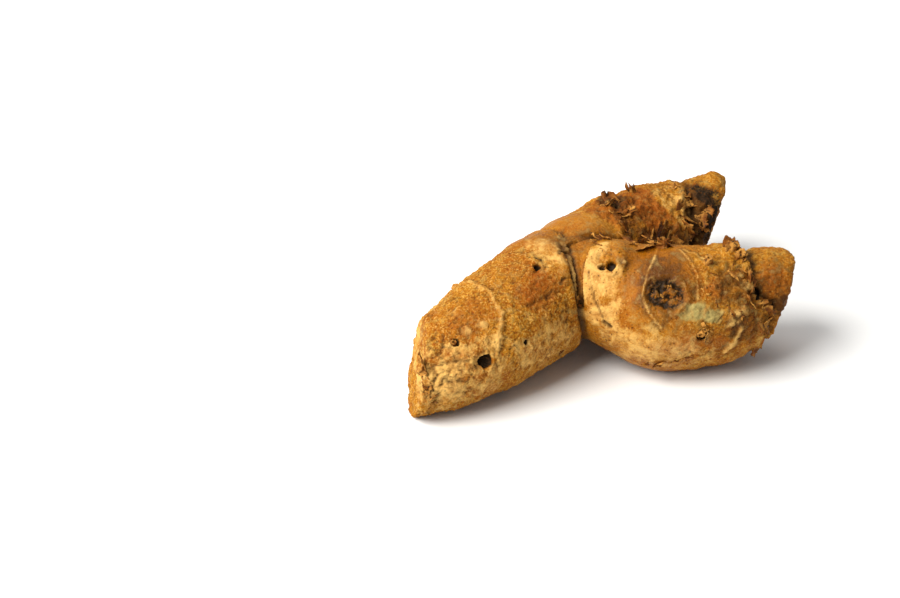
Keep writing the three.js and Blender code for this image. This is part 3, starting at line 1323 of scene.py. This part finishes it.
def marks_of_the_skin() -> list:
    """Everything that is carved and stained into the skin, arm by arm.

    Returns:
        The marks, in the order in which they are worked.
    """
    first = ((20.6, 66), (20.1, 100), (18.8, 128), (17.4, 141), (15.3, 162), (12.3, 199),
             (12.5, 240), (15.0, 300), (19.0, 350))
    second = ((38.5, 85), (37.0, 99), (35.4, 114), (33.6, 126), (32.0, 137), (31.3, 152),
              (31.5, 172), (32.5, 220), (34.5, 280), (38.0, 350))
    third = ((55.0, 70), (50.0, 98), (46.8, 128), (46.0, 180), (47.0, 250), (53.0, 340))
    fourth = ((68.4, 88), (66.0, 115), (64.6, 146), (64.0, 200), (65.0, 270), (68.0, 350))
    last = ((31.4, 77), (30.1, 126), (30.4, 142), (31.4, 154), (32.5, 166), (32.0, 230),
            (31.0, 300), (31.5, 360))
    finger = [
        ScaleRing(MAIN, first, ridge=0.3, width=0.5, groove=0.22, pale=0.6, dark=0.12,
                  ragged=0.4, strong=(60.0, 150.0)),
        ScaleRing(MAIN, second, ridge=0.3, width=0.5, groove=0.6, step=0.45, pale=0.3,
                  dark=0.6, ragged=0.6),
        RootScar(MAIN, 14.0, 162, 1.2, depth=0.9, rim=0.2, plug=0.3, dark=0.95, halo=0.15),
        RootScar(MAIN, 11.8, 128, 0.75, depth=0.45, rim=0.25, plug=0.7, dark=0.7),
        RootScar(MAIN, 20.3, 164, 0.55, depth=0.5, rim=0.12, dark=0.9, halo=0.5),
        RootScar(MAIN, 29.1, 110, 0.7, depth=0.8, rim=0.3, dark=1.0, halo=0.2),
        RootScar(MAIN, 27.4, 204, 0.7, depth=0.3, rim=0.25, dark=0.5, halo=0.4),
        Crack(MAIN, ((30.6, 106), (30.4, 99)), width=0.22, depth=0.3),
        Crack(MAIN, ((35.4, 114), (34.0, 111), (33.4, 114)), width=0.2, depth=0.25),
        Crack(MAIN, ((32.3, 136), (30.6, 133), (29.8, 136)), width=0.18, depth=0.2),
        Crack(MAIN, ((23.6, 135), (26.0, 136), (29.2, 140)), width=0.3, depth=0.2, dark=0.5,
              ragged=0.8),
        Crack(MAIN, ((7.4, 136), (8.6, 143), (10.4, 147), (12.4, 155)), width=0.16, depth=0.18,
              dark=0.35, ragged=0.9),
        Crack(MAIN, ((6.2, 128), (7.0, 140), (7.6, 150), (7.0, 160)), width=0.26, depth=0.4,
              dark=0.6, ragged=0.8),
        Crack(MAIN, ((9.6, 106), (8.6, 116), (7.4, 124), (7.0, 134)), width=0.22, depth=0.22,
              dark=0.3, ragged=0.6),
        Crack(MAIN, ((11.0, 112), (10.0, 124), (8.8, 132)), width=0.22, depth=0.22, dark=0.3,
              ragged=0.6),
        Patch(MAIN, 24.0, 180, 8.0, 26, Tint.PALE, 0.45),
        Patch(MAIN, 8.0, 168, 9.0, 56, Tint.PALE, 0.45, edge=0.8),
        Patch(MAIN, 33.5, 100, 3.4, 26, Tint.PALE, 0.45),
        Patch(MAIN, 31.6, 118, 2.4, 12, Tint.PALE, 0.4),
        Patch(MAIN, 25.0, 108, 5.0, 30, Tint.ORANGE, 0.3),
        Patch(MAIN, 15.3, 112, 4.4, 34, Tint.ORANGE, 0.6),
        Patch(MAIN, 27.0, 132, 5.0, 22, Tint.ORANGE, 0.5),
        Patch(MAIN, 17.2, 138, 1.8, 9, Tint.BROWN, 0.3),
        Patch(MAIN, 8.0, 160, 4.0, 40, Tint.PALE, 0.3, coarse=0.16),
        Patch(MAIN, 4.5, 190, 2.5, 60, Tint.BROWN, 0.3, coarse=0.4),
    ]
    arm = [
        ScaleRing(MAIN, third, ridge=0.5, width=0.9, groove=0.45, pale=0.0, dark=0.7, ragged=1.2),
        ScaleRing(MAIN, fourth, ridge=0.5, width=1.0, groove=0.6, step=0.4, pale=0.5, dark=0.8,
                  ragged=0.6),
        Patch(MAIN, 54.0, 84, 3.6, 22, Tint.BROWN, 0.85, coarse=0.45),
        Patch(MAIN, 50.0, 118, 2.6, 18, Tint.BROWN, 0.6, coarse=0.3),
        Patch(MAIN, 58.0, 110, 5.4, 44, Tint.ORANGE, 1.0, coarse=0.25),
        Patch(MAIN, 52.0, 96, 6.0, 40, Tint.ORANGE, 0.8, coarse=0.3),
        Swelling(MAIN, 79.0, 84, 1.9, 1.5),
        Patch(MAIN, 63.5, 112, 2.8, 40, Tint.PALE, 0.35, clear=(Tint.ORANGE,)),
        Patch(MAIN, 69.4, 136, 3.8, 52, Tint.BROWN, 1.0, coarse=0.5),
        Patch(MAIN, 71.6, 118, 2.8, 34, Tint.CHAR, 0.8, coarse=0.15),
        Patch(MAIN, 70.0, 152, 2.8, 22, Tint.CHAR, 0.6, coarse=0.3),
        Patch(MAIN, 52.0, 160, 9.0, 30, Tint.BROWN, 0.75, coarse=0.3),
        Patch(MAIN, 64.0, 172, 7.0, 26, Tint.BROWN, 0.8, coarse=0.3),
    ]
    branch = [
        Swelling(SIDE, 3.2, 138, 4.6, 1.3),
        Swelling(SIDE, 8.8, 100, 3.2, 1.1),
        Swelling(SIDE, 12.6, 96, 2.6, -0.5),
        Swelling(SIDE, 11.0, 155, 4.5, 0.35),
        Crack(SIDE, ((4.6, 112), (5.5, 122), (6.0, 141), (7.3, 162), (10.0, 182)), width=0.13,
              depth=0.16, lip=0.15, dark=0.3, ragged=0.5),
        RootScar(SIDE, 7.8, 120, 1.9, depth=0.3, rim=0.55, plug=0.4, dark=0.0, halo=0.2),
        RootScar(SIDE, 8.4, 122, 0.95, depth=0.9, rim=0.2, dark=0.95, halo=0.1),
        RootScar(SIDE, 7.3, 126, 0.6, depth=0.5, rim=0.1, dark=0.7, halo=0.1),
        RootScar(SIDE, 17.9, 139, 2.9, depth=0.9, rim=0.45, plug=1.0, dark=0.8, halo=0.6),
        Crack(SIDE, ((10.0, 183), (11.4, 186)), width=0.3, depth=0.4),
        Welt(SIDE, ((14.9, 84), (15.0, 104), (14.7, 120), (15.0, 143), (16.4, 158), (17.9, 171))),
        Welt(SIDE, ((20.4, 88), (22.0, 106), (22.8, 121), (22.6, 145))),
        Welt(SIDE, ((21.0, 86), (23.6, 96), (26.0, 106))),
        Patch(SIDE, 16.0, 112, 6.5, 40, Tint.AMBER, 0.7),
        Patch(SIDE, 15.5, 106, 6.5, 36, Tint.BROWN, 0.42, edge=0.3),
        Patch(SIDE, 27.0, 146, 4.0, 34, Tint.BROWN, 0.4, edge=0.8),
        Patch(SIDE, 13.0, 132, 3.0, 26, Tint.ORANGE, 0.35),
        # Pale skin and painted light: the lit left bulge of the side branch, made paler.
        Patch(SIDE, 5.5, 150, 6.0, 50, Tint.PALE, 0.65, clear=(Tint.AMBER,), edge=0.8),
        Patch(SIDE, 17.0, 198, 8.0, 26, Tint.PALE, 0.5, clear=(Tint.AMBER,)),
        Patch(SIDE, 17.0, 196, 8.0, 30, Tint.CORK, 0.5),
        Patch(SIDE, 25.4, 138, 2.2, 12, Tint.ORANGE, 0.6, coarse=0.3),
        Patch(SIDE, 28.0, 125, 4.0, 30, Tint.BROWN, 0.3, coarse=0.4),
        Patch(SIDE, 27.6, 160, 2.6, 12, Tint.PALE, 0.4, coarse=0.3),
        Patch(SIDE, 21.9, 155, 1.9, 9, Tint.FLESH, 0.8,
              clear=(Tint.CORK, Tint.ORANGE, Tint.AMBER), edge=0.6, coarse=0.25),
        Patch(SIDE, 24.3, 160, 1.7, 6, Tint.FLESH, 0.7, clear=(Tint.ORANGE,), edge=0.8,
              coarse=0.25),
        Patch(SIDE, 21.6, 189, 6.0, 13, Tint.ORANGE, 0.75),
        Patch(SIDE, 29.4, 178, 4.0, 20, Tint.BROWN, 0.5, coarse=0.3),
        Patch(SIDE, 35.0, 150, 4.0, 50, Tint.ORANGE, 0.6),
        Patch(SIDE, 35.6, 136, 3.6, 44, Tint.BROWN, 0.4),
        Welt(SIDE, ((27.8, 178), (27.0, 190), (25.6, 203)), width=0.45, height=0.3, pale=0.8),
        Patch(SIDE, 35.4, 170, 2.0, 16, Tint.BROWN, 0.7, coarse=0.3),
        ScaleRing(SIDE, last, ridge=0.7, width=0.8, groove=0.7, step=0.5, pale=0.3, dark=0.7,
                  ragged=1.2),
        RootScar(SIDE, 31.3, 148, 1.1, depth=0.9, rim=0.3, dark=0.9, halo=0.4),
        RootScar(SIDE, 23.1, 179, 1.1, depth=0.5, rim=0.35, plug=0.6, dark=0.7, halo=0.4),
        Swelling(SIDE, 25.2, 107, 0.7, 0.6),
        Swelling(SIDE, 29.6, 92, 1.4, 0.9),
    ]
    hidden = [
        *(
            RootScar(branch_, along, round_, radius, depth=0.4, plug=0.8, dark=0.5)
            for branch_, along, round_, radius in (
                (MAIN, 22.0, 28, 1.2), (MAIN, 41.0, 40, 0.9), (MAIN, 55.0, 15, 1.3),
                (MAIN, 18.0, 245, 1.4), (MAIN, 36.0, 255, 1.5), (MAIN, 56.0, 235, 1.2),
                (SIDE, 21.0, 42, 1.3), (SIDE, 13.0, 240, 1.6), (SIDE, 25.0, 300, 1.4),
            )
        ),
        Patch(MAIN, 26.0, 350, 7.0, 40, Tint.ORANGE, 0.5),
        Patch(MAIN, 60.0, 350, 6.0, 40, Tint.ORANGE, 0.6),
        Patch(MAIN, 13.0, 20, 7.0, 40, Tint.PALE, 0.5, edge=0.8),
        Patch(MAIN, 34.0, 10, 4.0, 50, Tint.BROWN, 0.3, edge=0.8),
        Patch(MAIN, 69.0, 20, 5.0, 50, Tint.BROWN, 0.5, coarse=0.3, edge=0.8),
        Patch(SIDE, 18.0, 20, 9.0, 40, Tint.BROWN, 0.4, edge=0.8),
    ]
    return finger + arm + branch + hidden


def flakes(
    branch: Branch, path: tuple[tuple[float, float], ...], count: int, seed: int,
    size: float = 2.4, stray: float = 0.8, lean: float = 16.0,
) -> list:
    """Scatter scraps along a line on the skin.

    Args:
        branch: The arm that they sit on.
        path: The line: pairs of mm along and degrees round.
        count: How many there are.
        seed: Which scatter it is.
        size: Their mean width, in mm.
        stray: How far they stray from the line, in mm.
        lean: How far they stand off the skin, in degrees.

    Returns:
        The scraps.
    """
    draw = random.Random(seed)
    legs = len(path) - 1
    made = []
    for number in range(count):
        spot = (number + draw.random()) / count * legs
        leg = min(int(spot), legs - 1)
        (along_a, round_a), (along_b, round_b) = path[leg], path[leg + 1]
        along = along_a + (along_b - along_a) * (spot - leg) + draw.uniform(-stray, stray)
        round_ = round_a + (round_b - round_a) * (spot - leg) + draw.uniform(-4.0, 4.0)
        width = size * draw.uniform(0.6, 1.3)
        made.append(
            Scrap(branch, along, round_, width * draw.uniform(0.5, 0.9), width,
                  lean * draw.uniform(0.5, 1.5), draw.uniform(0.0, 360.0), draw.uniform(5.0, 35.0))
        )
    return made


def scraps_of_the_scales() -> list:
    """The papery scraps, ring by ring.

    Returns:
        One list of scraps for each piece.
    """
    crevice = (
        flakes(SIDE, ((7.0, 72), (12.0, 72), (22.0, 70)), 10, 1, 3.4, 0.8, 10.0)
        + flakes(MAIN, ((45.0, 146), (50.0, 152), (62.0, 158)), 10, 2, 3.4, 0.8, 14.0)
        + [
            Scrap(SIDE, 11.6, 80, 2.4, 3.2, 24, 330, 20),
            Scrap(SIDE, 6.4, 88, 1.8, 2.6, 20, 200, 20),
            Scrap(SIDE, 7.6, 114, 1.5, 2.4, 8, 90, 30),
        ]
        + flakes(SIDE, ((16.4, 134), (18.0, 140), (19.4, 144)), 6, 15, 0.9, 0.9, 24.0)
    )
    far_ring = (
        flakes(MAIN, ((52.5, 70), (51.5, 100), (47.5, 132)), 16, 3)
        + flakes(MAIN, ((67.5, 90), (66.0, 120), (66.0, 165)), 14, 4, 2.8, 1.6, 20.0)
        + flakes(MAIN, ((69.6, 128), (68.6, 156)), 6, 5, 1.8, 0.8, 8.0)
        + [
            Scrap(MAIN, 58.9, 82, 2.0, 1.5, 40, 180, 50),
            Scrap(MAIN, 59.4, 80, 1.5, 1.2, 50, 60, 90),
        ]
    )
    side_ring = (
        flakes(SIDE, ((30.6, 84), (30.0, 120), (31.0, 150), (32.6, 185)), 22, 6, 2.0, 1.2, 22.0)
        + flakes(SIDE, ((25.0, 120), (28.0, 168)), 10, 7, 1.6, 2.0, 12.0)
        + flakes(SIDE, ((22.6, 174), (24.4, 184)), 4, 8, 1.7, 0.3, 34.0)
        + flakes(SIDE, ((16.0, 218), (22.5, 214)), 5, 9, 1.8, 0.4, 14.0)
    )
    finger = (
        flakes(MAIN, ((4.2, 120), (4.4, 205)), 10, 10, 1.8, 0.8, 22.0)
        + flakes(MAIN, ((38.6, 84), (32.0, 140), (31.6, 180)), 9, 11, 1.5, 0.2, 10.0)
    )
    around = (
        flakes(MAIN, ((47.0, 200), (49.0, 270), (53.0, 350)), 12, 12)
        + flakes(MAIN, ((65.0, 200), (66.0, 340)), 12, 13)
        + flakes(SIDE, ((32.0, 220), (31.0, 300), (31.5, 350)), 12, 14)
    )
    return [
        ScaleScraps("crevice_scales", crevice),
        ScaleScraps("far_arm_scales", far_ring),
        ScaleScraps("side_branch_scales", side_ring),
        ScaleScraps("finger_shreds", finger),
        ScaleScraps("back_and_under_scales", around),
    ]


def sockets_of_the_roots() -> list:
    """The torn sockets and stubs where roots came off.

    Returns:
        The stubs, each with its own place.
    """
    return [
        RootStub("fork_socket", SIDE, 16.6, 79, 1.0, 1.3, 0.75),
        RootStub("crown_tubercle", SIDE, 25.2, 107, 0.62, 0.9, 0.4),
        RootStub("ring_knob", SIDE, 29.6, 93, 1.15, 1.3, 0.35),
        RootStub("ring_knob_small", SIDE, 30.6, 103, 0.8, 1.0, 0.5),
        RootStub("near_end_stub", MAIN, 11.8, 128, 0.5, 0.3, 0.4),
        RootStub("low_finger_stub", MAIN, 27.4, 203, 0.55, 0.35, 0.5),
        RootStub("lower_flap_stub", SIDE, 23.1, 178, 0.75, 0.5, 0.55),
        RootStub("back_stub_near", MAIN, 22.0, 28, 0.8, 0.7, 0.4),
        RootStub("back_stub_far", MAIN, 55.0, 15, 0.9, 0.8, 0.4),
        RootStub("side_back_stub", SIDE, 21.0, 42, 0.8, 0.7, 0.4),
    ]


def main() -> None:
    """Build every piece, the table, the light and the camera, and report them."""
    logging.basicConfig(level=logging.INFO, format="%(name)s: %(message)s")
    skin = RhizomeSkin(marks=marks_of_the_skin()).build(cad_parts["rhizome"])
    LOG.info("%s: %d faces", skin.name, len(skin.data.polygons))
    paper = PaperFinish().make()
    ground = Ground(skin)
    pieces = [scraps.build(ground, paper) for scraps in scraps_of_the_scales()]
    pieces += [stub.build(ground, paper) for stub in sockets_of_the_roots()]
    for piece in pieces:
        LOG.info("%s: %d faces", piece.name, len(piece.data.polygons))
    Studio().build()
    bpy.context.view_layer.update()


if __name__ == "__main__":
    main()
